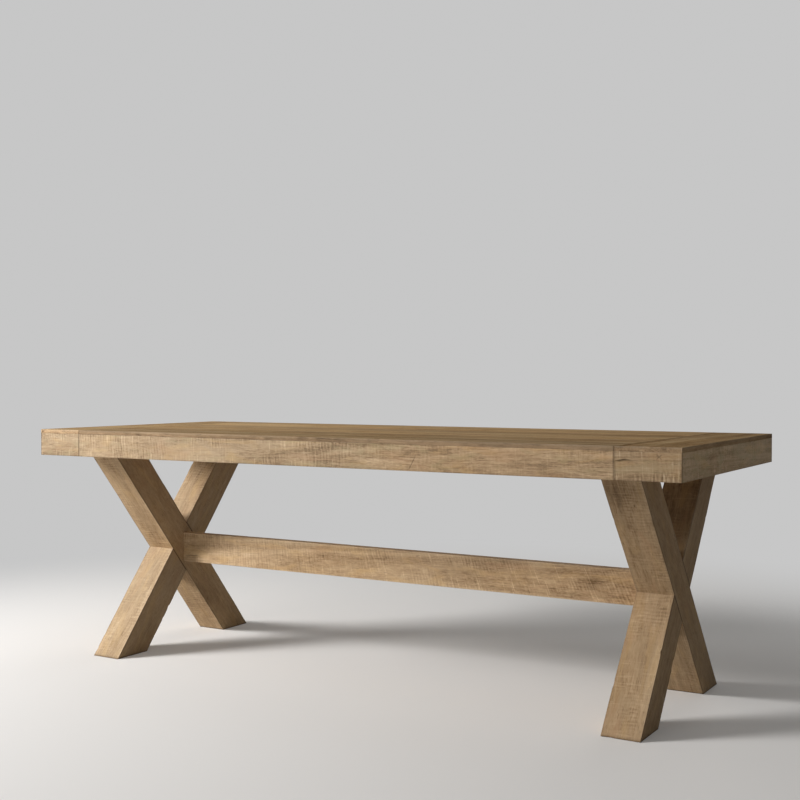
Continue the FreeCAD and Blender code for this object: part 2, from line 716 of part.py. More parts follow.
def stretcher_fixings():
    """A hanger stud through each lap, with a washer and a nut in the stretcher's pocket."""
    stud_x = f"({TRESTLE_X} + stud_far_bite)"
    seat_x = f"({INNER_FACE_X} - nut_pocket_start)"
    inward = ((-1, RIGHTWARD), (1, LEFTWARD))
    stud = cylinder("hanger_stud", "bolt_diameter", STUD_LENGTH)
    spots = [(f"{side} * {stud_x}", "0", "crossing_height", turn) for side, turn in inward]
    fastener_group("stretcher_studs", stud, spots)
    washer = ring("stud_washer", "washer_diameter", "bolt_diameter + thread_fit", "washer_thickness")
    spots = [(f"{side} * {seat_x}", "0", "crossing_height", turn) for side, turn in inward]
    fastener_group("stretcher_washers", washer, spots)
    nut_x = f"({seat_x} - washer_thickness)"
    spots = [(f"{side} * {nut_x}", "0", "crossing_height", turn) for side, turn in inward]
    fastener_group("stretcher_nuts", hex_nut("stud_nut"), spots)


for number in range(1, DECK_BOARDS + 1):
    deck_board(number)
core_panel()
for side in SIDES:
    breadboard(side)
    fascia_end(side)
    end_cleat(side)
    cross_batten(side)
    top_rail(side)
for face in FACES:
    fascia_long(face)
    long_cleat(face)
    for side in SIDES:
        fascia_return(face, side)
        corner_block(face, side)
        seam_block(face, side)
        leg(side, face)
stretcher()
cleat_screws()
batten_screws()
lag_screws()
rail_bolts()
stretcher_fixings()
doc.recompute()

for thing in doc.Objects:
    if "Invalid" in thing.State or "Error" in thing.State:
        raise RuntimeError(f"{thing.Name} failed: {thing.State}")
for node in nodes:
    if node.Shape.isNull() or not node.Shape.isValid():
        raise RuntimeError(f"{node.Label} has no valid shape")

os.makedirs("parts", exist_ok=True)
for node in nodes:
    node.Shape.exportStep(f"parts/{node.Label}.step")
print(f"{len(nodes)} nodes, leg splay {measure(SPLAY):.2f} degrees")
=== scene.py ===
import math
from types import SimpleNamespace

import bpy
import numpy as np
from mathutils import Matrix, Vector


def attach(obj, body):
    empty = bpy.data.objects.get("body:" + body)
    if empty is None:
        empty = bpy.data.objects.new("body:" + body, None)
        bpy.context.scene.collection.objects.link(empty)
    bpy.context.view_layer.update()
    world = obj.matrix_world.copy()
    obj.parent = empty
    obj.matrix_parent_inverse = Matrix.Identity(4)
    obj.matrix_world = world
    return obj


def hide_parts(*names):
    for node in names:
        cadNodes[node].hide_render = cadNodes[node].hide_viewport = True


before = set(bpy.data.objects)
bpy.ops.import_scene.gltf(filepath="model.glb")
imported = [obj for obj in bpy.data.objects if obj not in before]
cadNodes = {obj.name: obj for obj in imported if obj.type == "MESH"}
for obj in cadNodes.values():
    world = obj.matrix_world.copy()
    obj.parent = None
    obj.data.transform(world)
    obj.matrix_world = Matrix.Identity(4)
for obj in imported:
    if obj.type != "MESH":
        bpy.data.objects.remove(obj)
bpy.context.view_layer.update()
scene = bpy.context.scene
scene.view_settings.view_transform = "Standard"
print("frame:", len(cadNodes), "nodes")

# smooth fields over a board: how far each takes to change along, across and through it, and its own draw
softFields = {
    "wear": ((.06, .06, .06), 0),
    "chips": ((.012, .014, .014), 1),
    "hollow": ((.28, .05, .05), 2),
    "sawPatch": ((.10, .035, .035), 3),
    "kerfWander": ((.03, .5, .5), 4),
    "checkWander": ((.015, .015, 9), 5),
    "ripple": ((.045, .03, .03), 7),
    "smallPatch": ((.02, .02, .02), 8),
    "broadPatch": ((.07, .07, .07), 9),
}
logDraw = 6  # for a board's blots and its place in the log
waveCount = 24


# seeded field of about unit size, as a sum of waves
def softField(places, kind, seed):
    reach, draw = softFields[kind]
    dice = np.random.default_rng(seed + draw)
    waves = dice.normal(size=(3, waveCount)) / np.array(reach)[:, None]
    starts = dice.uniform(0, math.tau, waveCount)
    return np.cos(places @ waves + starts).sum(axis=1) / math.sqrt(waveCount / 2)


cells = {  # how a board is cut into cells, with lengths in metres
    "arris": np.array([0, .0004, .0009, .0016, .0026, .0042, .0068]),  # cuts beside every arris
    "arrisRoom": .6, "apart": .0003, "digits": 7,
    "steep": .2, "checkRoom": 1.5, "checkCell": .8,  # for checks, the last two in widths of the check
}


# where a board is cut along one axis: close at the arrises, even in between, and at every wanted place
def cutLines(half, step, wanted):
    near = cells["arris"][cells["arris"] < half * cells["arrisRoom"]]
    inner = half - near[-1]
    count = max(2, round(2 * inner / step) + 1)
    lines = np.concatenate([near - half, np.linspace(-inner, inner, count), half - near])
    for line in wanted:
        lines = lines[np.abs(lines - line) > cells["apart"]]
    return np.unique(np.round(np.concatenate([lines, wanted]), cells["digits"]))


# cuts that a board asks for: where its joints start, and close together along its checks
def wantedCuts(board):
    wanted = [list(cuts) for cuts in board.get("lines", ((), (), ()))]
    for check in board.get("checks", ()):
        level = abs(math.cos(check["lean"]))
        steep = abs(math.sin(check["lean"]))
        run = check["length"] / 2 * level if steep > cells["steep"] else 0.0
        rise = check["length"] / 2 * steep + cells["checkRoom"] * check["width"]
        for axis, reach, slope in ((0, run, steep), (1, rise, level)):
            count = 2 * round(reach * slope / (cells["checkCell"] * check["width"])) + 1
            wanted[axis] += list(check["at"][axis] + np.linspace(-reach, reach, count))
    return wanted


# outer faces of the filled cells of a grid, as corner places and quads that look outwards
def boardShell(us, vs, ws, filled):
    middles = np.meshgrid(*[(line[1:] + line[:-1]) / 2 for line in (us, vs, ws)], indexing="ij")
    filledCells = np.pad(filled(*middles), 1)
    shape = (len(us), len(vs), len(ws))
    corners = np.arange(np.prod(shape)).reshape(shape)
    quads = []
    for axis in range(3):
        cell = np.moveaxis(filledCells, axis, 0)
        corner = np.moveaxis(corners, axis, 0)
        below = cell[:-1, 1:-1, 1:-1]
        above = cell[1:, 1:-1, 1:-1]
        ring = [corner[:, :-1, :-1], corner[:, 1:, :-1], corner[:, 1:, 1:], corner[:, :-1, 1:]]
        ring = np.stack(ring if axis != 1 else ring[::-1], axis=-1)
        quads += [ring[below & ~above], ring[above & ~below][:, ::-1]]
    quads = np.concatenate(quads)
    used, numbers = np.unique(quads, return_inverse=True)
    spots = np.stack(np.meshgrid(us, vs, ws, indexing="ij"), axis=-1).reshape(-1, 3)[used]
    return spots, numbers.reshape(-1, 4)


def solidFill(u, v, w):
    return np.ones(u.shape, bool)


arris = {  # rounding and wear of the outer arrises
    "wear": .38, "leastWear": .45, "mostWear": 2.0, "chipFrom": 1.6, "chip": 1.6,
    "bareFrom": .0006, "bareOver": .0005,  # tighter arrises are not rubbed
    "mostRadius": .0066, "thinShare": .8,
    "rub": ((.7, .0030), (.3, .0120)), "rubDepth": .0008,  # share and reach of each part of the rubbed band
    "past": 1e-7, "off": 1e-8, "least": 1e-9,  # small enough to count as nothing
}


# rounds the outer arrises, more in worn places; easing is the radius at the low and high face of each axis
def easeArrises(spots, half, board):
    seed = board["seed"]
    inward = half - np.abs(spots)
    low, high = np.array(board["easing"][:3]), np.array(board["easing"][3:])
    faceEase = np.where(spots > 0, high, low)
    nearest = np.argsort(inward, axis=1)[:, :2]
    radius = np.take_along_axis(faceEase, nearest, axis=1).min(axis=1)
    bare = np.clip((radius - arris["bareFrom"]) / arris["bareOver"], 0, 1)
    worn = np.clip(1 + arris["wear"] * softField(spots, "wear", seed), arris["leastWear"], arris["mostWear"])
    chips = np.clip(softField(spots, "chips", seed) - arris["chipFrom"], 0, 1)
    mostRadius = min(arris["mostRadius"], half.min() * arris["thinShare"])
    radius = np.minimum(radius * (worn + board.get("chip", arris["chip"]) * chips), mostRadius)[:, None]
    inner = np.clip(spots, radius - half, half - radius)
    out = spots - inner
    length = np.maximum(np.linalg.norm(out, axis=1, keepdims=True), arris["least"])
    beyond = (inward < -arris["past"]).any(axis=1, keepdims=True)  # tongues and stubs stay square
    corner = (np.abs(out) > arris["off"]).sum(axis=1, keepdims=True) > 1
    eased = np.where(corner & ~beyond, inner + out * radius / length, spots)
    first, second = np.sort(inward, axis=1)[:, :2].T
    rub = sum(share * np.exp(-(second / reach) ** 2) for share, reach in arris["rub"])
    return eased, np.where(beyond, 0, out / length), rub * bare * (first < arris["rubDepth"])


# limits that tell which way a point looks, from 0 along a face to 1 straight out of it
facing = {"side": .5, "edge": .6, "stain": .3, "corner": .3, "seam": .8}


# a board in its own coordinates: along the grain, across it, and out of the show face
def shapeBoard(board):
    half = np.array(board["half"])

    # cuts round a check can run past the board
    def whole(u, v, w):
        return (np.abs(u) < half[0]) & (np.abs(v) < half[1]) & (np.abs(w) < half[2])

    lines = [cutLines(*axis) for axis in zip(half, board["step"], wantedCuts(board))]
    spots, quads = boardShell(*lines, board.get("filled", whole))
    local, outward, wear = easeArrises(spots, half, board)
    if "ends" in board:  # end cuts and lap shoulders: a place on the square board, the real place and a slope
        places, starts, slopes = zip(*board["ends"])
        slope = np.interp(local[:, 0], places, slopes)
        local[:, 0] = np.interp(local[:, 0], places, starts) + slope * local[:, 2]
    if "tenon" in board:
        more, faces = board["tenon"]
        blank = np.zeros_like(more)
        quads = np.concatenate([quads, faces + len(local)])
        local = np.concatenate([local, more])
        spots = np.concatenate([spots, blank])
        outward = np.concatenate([outward, blank])
        wear = np.concatenate([wear, blank[:, 0]])
    onEdge = np.abs(outward[:, 2]) < facing["edge"]
    return SimpleNamespace(spots=spots, quads=quads, local=local, outward=outward, wear=wear, onEdge=onEdge)


relief = {
    "waves": {"hollow": .35, "ripple": .15}, "level": .5, "deepest": 1.3,  # as shares of a board's hollow
    "sawCover": .35, "sawThrough": .02, "checkWander": .5, "sharp": math.radians(40),
}


# distance along the saw's travel, which slants and bows across a board
def sawPath(board, local):
    u, v, w = local.T
    slant = board["sawSlant"] + board.get("sawTurn", 0) * u
    return u + slant * v + board["sawBow"] * v * v + relief["sawThrough"] * w


# how open a check is: full along its middle, closing at its tips, and on the show face only
def checkShape(check, points, seed):
    du = points.local[:, 0] - check["at"][0]
    dv = points.local[:, 1] - check["at"][1]
    level, steep = math.cos(check["lean"]), math.sin(check["lean"])
    run = du * level + dv * steep
    off = dv * level - du * steep
    off = off + relief["checkWander"] * check["width"] * softField(points.local, "checkWander", seed)
    tips = np.clip(1 - (2 * run / check["length"]) ** 2, 0, 1)
    return np.exp(-2 * (off / check["width"]) ** 2) * tips * (points.outward[:, 2] > facing["side"])


# hollows, saw kerfs and checks sink into the faces, so the piece never grows past its solid
def sinkFaces(board, points):
    seed = board["seed"]
    wave = sum(share * softField(points.local, kind, seed) for kind, share in relief["waves"].items())
    hollow = board["hollow"] * np.clip(relief["level"] + wave, 0, relief["deepest"])
    patch = np.clip(softField(points.local, "sawPatch", seed) + relief["sawCover"], 0, 1)
    turn = math.tau * points.sawLine / board["sawPitch"] + softField(points.local, "kerfWander", seed)
    sunk = hollow + board["sawDepth"] * patch * np.clip(np.cos(turn), 0, 1) ** 2
    dirt = np.zeros(len(sunk))
    for check in board.get("checks", ()):
        shape = checkShape(check, points, seed)
        sunk = sunk + check["depth"] * shape
        dirt = np.maximum(dirt, check["dark"] * shape)
    longGrain = np.abs(points.outward[:, :1]) < facing["side"]  # end grain stays flat
    return points.local - points.outward * np.where(longGrain, sunk[:, None], 0), dirt


# value at each place along a board, from one number or a few pairs of place and value
def alongBoard(u, value):
    return np.interp(u, *zip(*value)) if isinstance(value, list) else np.full(len(u), value)


# a dark line along one side of a board, grime in joints and painted shade at some arrises: axis and side, how
# far it spreads, how dark on broad faces and on edges
def seam(axis, side, reach, dark, edgeDark=None):
    edgeDark = dark if edgeDark is None else edgeDark
    return {"axis": axis, "side": side, "reach": reach, "dark": dark, "edgeDark": edgeDark}


# grime in the seams and laps and painted shade along some arrises, beside what lies in the checks
def grimeAndShade(board, points):
    dirt = points.dirt
    for line in board.get("seamsAndShadeLines", ()):
        axis = line["axis"]
        gap = board["half"][axis] - line["side"] * points.spots[:, axis]
        dark = np.where(points.onEdge, line["edgeDark"], line["dark"])
        seen = np.abs(points.outward[:, axis]) < facing["seam"]
        dirt = np.maximum(dirt, dark * np.exp(-(gap / line["reach"]) ** 2) * seen)
    if "lapDirt" in board:
        dirt = np.maximum(dirt, board["lapDirt"](points))
    return dirt


knotStretch = (1.8, 1.0, 3.0)  # a knot is longer along the grain and through the board


# knots: place along, across and out, then size and strength
def knotShade(board, points):
    knot = np.zeros(len(points.local))
    for *middle, size, strength in board.get("knots", ()):
        parts = zip(points.local.T, middle, knotStretch)
        away = sum(((place - start) / (stretch * size)) ** 2 for place, start, stretch in parts)
        knot = np.maximum(knot, strength * np.exp(-away))
    return knot


blot = {"long": (.012, .045), "wide": (.007, .018)}
edgePatches = {"smallPatch": 1.0, "broadPatch": .8}


# stains: place along and across, length, width, and strength, below zero for paler; blots lie at random
def stainShade(board, points, dice):
    u, v = points.local[:, 0], points.local[:, 1]
    halfRun, halfWide = board["half"][:2]
    count, strength = board.get("blots", (0, 0))
    blots = np.stack([
        dice.uniform(-halfRun, halfRun, count) + np.mean(u),
        dice.uniform(-halfWide, halfWide, count),
        dice.uniform(*blot["long"], count),
        dice.uniform(*blot["wide"], count),
        dice.normal(0, strength, count),
    ], axis=1)
    shown = points.outward[:, 2] > facing["stain"]
    stain = np.zeros(len(u))
    for u0, v0, long, wide, amount in [*board.get("stains", ()), *blots]:
        stain += amount * np.exp(-((u - u0) / long) ** 2 - ((v - v0) / wide) ** 2) * shown
    patchy = sum(share * softField(points.local, kind, board["seed"]) for kind, share in edgePatches.items())
    return stain + board.get("edgePatch", 0.0) * patchy * points.onEdge


log = {"aside": (-.05, .05), "deep": (.05, .16), "lean": (-.035, .035), "start": (5, 40)}


# where a board lay in its log: the pith runs under the show face, a little out of line
def placeInLog(board, points, dice):
    u, v, w = points.local.T
    anyPith = (dice.uniform(*log["aside"]), -dice.uniform(*log["deep"]))
    pith = board.get("pith", anyPith)
    lean = dice.uniform(*log["lean"], 2)
    start = dice.uniform(*log["start"])
    return u + start, v - pith[0] + lean[0] * u, w - pith[1] + lean[1] * u


def paint(mesh, label, *columns):
    layer = mesh.attributes.new(label, "FLOAT_VECTOR", "POINT")
    layer.data.foreach_set("vector", np.stack(columns, axis=1).astype(np.float32).ravel())


grimeAndShadeHide = 2  # how fast grime and painted shade hide the rubbed colour
sawShift = 7  # the saw's path starts elsewhere on each board
evenSides = (1.0, 1.0, 1.0)


# what the oak finishes read at each point of a board
def paintBoard(mesh, board, points):
    u, v, w = points.local.T
    dice = np.random.default_rng(board["seed"] + logDraw)
    stain = stainShade(board, points, dice)
    paint(mesh, "grain", *placeInLog(board, points, dice))
    dirt = grimeAndShade(board, points)
    wear = points.wear * np.clip(1 - grimeAndShadeHide * dirt, 0, 1)
    paint(mesh, "marks", wear, dirt, knotShade(board, points))
    tone = alongBoard(u, board["tone"])
    for axis, side, factor in board.get("edgeTone", ()):
        onSide = points.outward[:, axis] * side > facing["edge"]
        tone = np.where(onSide, tone * alongBoard(u, factor), tone)
    side = np.digitize(points.outward[:, 1], (-facing["edge"], facing["edge"]))  # low, broad faces, high
    saw = alongBoard(u, board["saw"]) * np.array(board.get("sideSaw", evenSides))[side]
    figure = alongBoard(u, board["figure"]) * np.array(board.get("sideFigure", evenSides))[side]
    paint(mesh, "tint", tone, alongBoard(u, board["warmth"]), saw)
    dull = np.where(points.onEdge, board.get("edgeDull", 0.0), 0.0)
    paint(mesh, "figure", figure, stain, dull)
    paint(mesh, "sawLine", points.sawLine + sawShift * board["seed"], v, w)


# one piece of show timber, which stands for its solid
def makeTimber(name, nodeName, board, finish):
    points = shapeBoard(board)
    points.sawLine = sawPath(board, points.local)
    points.local, points.dirt = sinkFaces(board, points)
    axes = np.array([board["along"], board["across"], np.cross(board["along"], board["across"])], float)
    places = points.local @ axes + np.array(board["origin"])
    mesh = bpy.data.meshes.new(name)
    mesh.from_pydata(places.tolist(), [], points.quads.tolist())
    mesh.shade_smooth()
    mesh.set_sharp_from_angle(angle=relief["sharp"])
    paintBoard(mesh, board, points)
    mesh.materials.append(finish)
    piece = bpy.data.objects.new(name, mesh)
    scene.collection.objects.link(piece)
    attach(piece, "root")
    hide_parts(nodeName)


# links a node's inputs to sockets, or sets them to plain values
def wire(tree, node, wires):
    for socket, value in wires.items():
        if isinstance(value, bpy.types.NodeSocket):
            tree.links.new(value, node.inputs[socket])
        else:
            colour = node.inputs[socket].type == "RGBA"
            node.inputs[socket].default_value = (*value, 1) if colour else value


def addNode(tree, kind, wires=None, **settings):
    node = tree.nodes.new(kind)
    for key, value in settings.items():
        setattr(node, key, value)
    wire(tree, node, wires or {})
    return node


def calculate(tree, operation, first, second):
    return addNode(tree, "ShaderNodeMath", {0: first, 1: second}, operation=operation).outputs[0]


def times(tree, first, second):
    return calculate(tree, "MULTIPLY", first, second)


# first + (value - middle) * share
def nudge(tree, first, value, share, middle=0.0):
    wires = {0: calculate(tree, "SUBTRACT", value, middle), 1: share, 2: first}
    return addNode(tree, "ShaderNodeMath", wires, operation="MULTIPLY_ADD").outputs[0]


def ranged(tree, value, low, high, toLow=0.0, toHigh=1.0):
    wires = {"Value": value, "From Min": low, "From Max": high, "To Min": toLow, "To Max": toHigh}
    return addNode(tree, "ShaderNodeMapRange", wires, interpolation_type="SMOOTHSTEP").outputs[0]


def stretchedNoise(tree, vector, scale, detail=2.0, rough=.5, twist=0.0, output="Fac"):
    placed = addNode(tree, "ShaderNodeMapping", {"Vector": vector, "Scale": scale}).outputs[0]
    wires = {"Vector": placed, "Scale": 1.0, "Detail": detail, "Roughness": rough, "Distortion": twist}
    return addNode(tree, "ShaderNodeTexNoise", wires).outputs[output]


def mixed(tree, factor, first, second, blend="MIX"):
    wires = {0: factor, 6: first, 7: second}  # 6 and 7 take colours, and output 2 gives one
    return addNode(tree, "ShaderNodeMix", wires, data_type="RGBA", blend_type=blend).outputs[2]


def ramp(tree, value, stops, colours):
    node = addNode(tree, "ShaderNodeValToRGB", {0: value})
    points = node.color_ramp.elements
    while len(points) < len(stops):
        points.new(.5)
    for point, stop, colour in zip(points, stops, colours):
        point.position = stop
        point.color = (*colour, 1)
    return node.outputs[0]


def newMaterial(name):
    material = bpy.data.materials.new(name)
    material.use_nodes = True
    return material, material.node_tree, material.node_tree.nodes["Principled BSDF"]


def bumped(tree, height, strength, distance):
    wires = {"Strength": strength, "Distance": distance, "Height": height}
    return addNode(tree, "ShaderNodeBump", wires).outputs[0]


def readVector(tree, label):
    return addNode(tree, "ShaderNodeAttribute", attribute_name=label).outputs["Vector"]


def splitVector(tree, vector):
    return addNode(tree, "ShaderNodeSeparateXYZ", {0: vector}).outputs


noiseMiddle = .5
oakNoise = {  # cells in a metre along, across and through the board, then detail, roughness and twist
    "sway": ((1.7, 9, 9), 2),
    "fibres": ((6, 290, 290), 4, .68),
    "threads": ((14, 560, 560), 3, .6),
    "mottle": ((20, 62, 62), 3, .62, 1.1),
    "blotches": ((4.5, 13, 13), 3, .55),
    "bands": ((.55, 17, 17), 3, .6),
    "pores": ((75, 1500, 1500), 1),
    "streaks": ((11, 270, 270), 2, .55),
    "streaky": ((3.2, 14, 14), 2),
    "shakes": ((34, 300, 300), 1),
    "sawTicks": ((230, 30, 30), 2, .6),
    "sawStrokes": ((9, 18, 18), 1),
    "sawPatches": ((7, 13, 13), 2),
    "scratches": ((260, 15, 15), 0),
    "greyed": ((1.6, 5, 5), 2),
    "golden": ((7, 26, 26), 3, .55, .6),
    "russet": ((6, 21, 21), 3, .6, .8),
    "olive": ((9, 32, 32), 3, .6, .8),
}
oakRange = {  # where a mark starts and is full, then its least and its most where those are not 0 and 1
    "pores": (.60, .74), "poreRings": (.62, .40), "streaks": (.56, .66), "streaky": (.44, .62),
    "shakes": (.70, .76), "sawPatches": (.42, .62), "scratches": (.68, .77),
    "greyed": (.42, .72, 0.0, .32), "golden": (.48, .70, 0.0, .46),
    "russet": (.52, .74, 0.0, .40), "olive": (.50, .70, 0.0, .46),
    "rubbed": (.30, .62, .25, 1.0), "knotHeart": (.72, 1.0, 0.0, .8), "rough": (.2, .8, .74, .60),
}


# noise that shows only where it is strong
def oakMark(tree, vector, kind):
    return ranged(tree, stretchedNoise(tree, vector, *oakNoise[kind]), *oakRange[kind])


# slow wander of the fibres across the board
def wavyGrain(tree, grain, sway):
    wander = stretchedNoise(tree, grain, *oakNoise["sway"], output="Color")
    wires = {0: wander, 1: (noiseMiddle, noiseMiddle, noiseMiddle)}
    wander = addNode(tree, "ShaderNodeVectorMath", wires, operation="SUBTRACT").outputs[0]
    wires = {0: wander, 1: (0, sway, sway), 2: grain}
    return addNode(tree, "ShaderNodeVectorMath", wires, operation="MULTIPLY_ADD").outputs[0]


# growth rings round the pith, bent about knots
def growthRings(tree, wavy, knot, look):
    flat = addNode(tree, "ShaderNodeVectorMath", {0: wavy, 1: (0, 1, 1)}, operation="MULTIPLY").outputs[0]
    reach = addNode(tree, "ShaderNodeVectorMath", {0: flat}, operation="LENGTH").outputs["Value"]
    reach = nudge(tree, reach, knot, look["knotBend"])
    wires = {"W": reach, "Scale": look["rings"], "Detail": 3.0, "Roughness": .62}
    return addNode(tree, "ShaderNodeTexNoise", wires, noise_dimensions="1D").outputs[0]


# saw marks across the grain, only in patches: fine ticks over broader strokes
def sawnMarks(tree, sawLine, saw, look):
    wander = stretchedNoise(tree, sawLine, *oakNoise["sawStrokes"])
    stroke = times(tree, splitVector(tree, sawLine)[0], look["strokeTurns"])
    stroke = nudge(tree, stroke, wander, look["strokeWander"], noiseMiddle)
    ticks = stretchedNoise(tree, sawLine, *oakNoise["sawTicks"])
    ticks = calculate(tree, "SUBTRACT", ticks, noiseMiddle)
    marks = nudge(tree, ticks, calculate(tree, "SINE", stroke, 0.0), look["strokeShare"])
    patches = times(tree, oakMark(tree, sawLine, "sawPatches"), saw)
    return times(tree, marks, patches)


# sawn oak with a matt oil: rings, fibres, pores, saw marks across the grain and worn arrises
def oakFinish(name, look):
    material, tree, shader = newMaterial(name)
    grain = readVector(tree, "grain")
    sawLine = readVector(tree, "sawLine")
    wear, dirt, knot = splitVector(tree, readVector(tree, "marks"))
    tone, warmth, saw = splitVector(tree, readVector(tree, "tint"))
    figure, stain, dull = splitVector(tree, readVector(tree, "figure"))
    wavy = wavyGrain(tree, grain, look["sway"])
    rings = growthRings(tree, wavy, knot, look)
    fibres = stretchedNoise(tree, wavy, *oakNoise["fibres"])
    threads = stretchedNoise(tree, wavy, *oakNoise["threads"])
    flecks = stretchedNoise(tree, wavy, *look["flecks"])
    mottle = stretchedNoise(tree, wavy, *oakNoise["mottle"])
    blotches = stretchedNoise(tree, grain, *oakNoise["blotches"])
    pores = ranged(tree, rings, *oakRange["poreRings"])
    pores = times(tree, oakMark(tree, wavy, "pores"), pores)
    streaks = times(tree, oakMark(tree, wavy, "streaks"), oakMark(tree, grain, "streaky"))
    shakes = oakMark(tree, wavy, "shakes")
    sawMarks = sawnMarks(tree, sawLine, saw, look)
    scratches = times(tree, oakMark(tree, sawLine, "scratches"), saw)

    # how pale the wood is, from the lines of its figure and from what lies over them
    lines = nudge(tree, 0.0, rings, look["ringShare"], noiseMiddle)
    lines = nudge(tree, lines, fibres, look["fibreShare"], noiseMiddle)
    lines = nudge(tree, lines, threads, look["threadShare"], noiseMiddle)
    lines = nudge(tree, lines, streaks, look["streakShare"])
    lines = nudge(tree, lines, flecks, look["fleckShare"], noiseMiddle)
    shade = calculate(tree, "ADD", times(tree, lines, figure), look["pale"])
    shade = nudge(tree, shade, mottle, look["mottleShare"], noiseMiddle)
    shade = nudge(tree, shade, blotches, look["blotchShare"], noiseMiddle)
    shade = nudge(tree, shade, sawMarks, look["sawShare"])
    shade = nudge(tree, shade, scratches, look["scratchShare"])
    shade = nudge(tree, shade, stain, look["stainShare"])
    if look["bandShare"]:
        bands = stretchedNoise(tree, grain, *oakNoise["bands"])
        shade = nudge(tree, shade, bands, look["bandShare"], noiseMiddle)
    colour = ramp(tree, shade, look["stops"], look["colours"])
    for tint in ("greyed", "golden", "russet", "olive"):
        colour = mixed(tree, oakMark(tree, grain, tint), colour, look[tint])
    colour = mixed(tree, warmth, colour, look["warm"], "OVERLAY")
    colour = mixed(tree, dull, colour, look["edge"], "COLOR")

    # pale rubbed arrises, dark pores, knots, seams and painted shade lines
    rubbed = times(tree, wear, ranged(tree, blotches, *oakRange["rubbed"]))
    colour = mixed(tree, times(tree, rubbed, look["rub"]), colour, look["rubbed"])
    dark = times(tree, pores, look["poreShare"])
    dark = calculate(tree, "MAXIMUM", dark, ranged(tree, knot, *oakRange["knotHeart"]))
    dark = calculate(tree, "MAXIMUM", dark, times(tree, shakes, look["shakeShare"]))
    dark = calculate(tree, "MAXIMUM", dark, dirt)
    colour = mixed(tree, dark, colour, look["dark"])
    bright = addNode(tree, "ShaderNodeVectorMath", {0: colour, "Scale": tone}, operation="SCALE").outputs[0]
    rough = ranged(tree, shade, *oakRange["rough"])
    rough = nudge(tree, rough, pores, look["poreRough"])
    rough = nudge(tree, rough, rubbed, look["rubbedRough"])
    height = nudge(tree, 0.0, fibres, look["fibreHeight"], noiseMiddle)
    height = nudge(tree, height, threads, look["threadHeight"], noiseMiddle)
    height = nudge(tree, height, sawMarks, look["sawHeight"])
    height = nudge(tree, height, pores, look["poreHeight"])
    normal = bumped(tree, height, *look["bump"])
    wire(tree, shader, {"Base Color": bright, "Roughness": rough, "Normal": normal})
    wire(tree, shader, {"Specular IOR Level": look["shine"]})
    return material


oakLook = {
    "sway": .020, "rings": 150, "knotBend": .022, "flecks": ((58, 210, 210), 2, .6),
    "strokeTurns": 560, "strokeWander": 9, "strokeShare": .10,
    "pale": .52, "ringShare": .55, "fibreShare": .84, "threadShare": .52, "streakShare": -.13,
    "fleckShare": .56, "mottleShare": .36, "blotchShare": .42, "sawShare": .62, "scratchShare": .18,
    "stainShare": -.30, "bandShare": 0.0, "poreShare": .55, "shakeShare": .45, "rub": .75,
    "stops": (.14, .36, .54, .72, .94),
    "colours": [(.152, .100, .058), (.300, .208, .124), (.420, .306, .190), (.520, .393, .256),
                (.640, .506, .354)],
    "greyed": (.365, .288, .200), "golden": (.495, .345, .175), "russet": (.430, .280, .170),
    "olive": (.378, .315, .188), "edge": (.380, .262, .168), "warm": (.550, .472, .385),
    "rubbed": (.600, .475, .335), "dark": (.050, .030, .016),
    "poreRough": .12, "rubbedRough": -.10, "shine": .10,
    "fibreHeight": .5, "threadHeight": .25, "sawHeight": .8, "poreHeight": -.7, "bump": (.22, .0011),
}
deckLook = {
    **oakLook, "fibreShare": .68, "sawShare": .25, "fleckShare": .40, "bandShare": 1.25, "shakeShare": .25,
    "shine": 0.0, "rub": .45, "greyed": (.380, .292, .192),
    "colours": [(.142, .087, .044), (.302, .198, .103), (.424, .292, .156), (.524, .376, .212),
                (.636, .482, .295)],
}
trestleLook = {
    **oakLook, "fibreShare": .72, "rings": 120, "sway": .026, "flecks": ((80, 210, 210), 2, .6),
    "fleckShare": .50, "streakShare": -.08, "mottleShare": .46, "rub": .40, "olive": (.402, .300, .186),
    "colours": [(.145, .092, .050), (.290, .197, .114), (.410, .295, .179), (.510, .381, .244),
                (.630, .494, .341)],
}
deckOak = oakFinish("deckOak", deckLook)
fasciaOak = oakFinish("fasciaOak", oakLook)
trestleOak = oakFinish("trestleOak", trestleLook)
print("show finishes made")

table = {"halfLength": 1.092, "halfWidth": .4445, "height": .762, "seam": .918}

deckFace = {  # the deck is smoother than the sawn boards
    "step": (.007, .007, .004), "sawPitch": .013, "sawDepth": .00004, "sawSlant": .03, "sawBow": 0.0,
    "saw": .35, "figure": 1.0,
}
deckBoard = {
    "count": 6, "thick": .013, "tongue": .002, "groove": .0021, "reach": .006, "slack": .001,
    "endReach": .014, "setback": .030, "firstSeed": 100, "seedStep": 11,
    "tones": (.86, .92, 1.08, .94, 1.24, 1.08), "warmths": (.10, .22, .34, .24, .36, .24),
    "edgeTone": [(-.9, .83), (0, .755), (.9, .70)],
    "endSeam": {"reach": .0018, "dark": .16, "edgeDark": .62}, "sideSeam": {"reach": .0012, "dark": .4},
    "face": {
        **deckFace, "easing": (.0008, .0010, .0003, .0008, .0010, .0011), "hollow": .00022,
        # the broad stain at .80 along darkens the right end of every deck board as painted shade of the
        # light's falloff
        "edgeDull": .72, "edgePatch": .21, "stains": [(.80, 0, .25, .2, .24)],
    },
}


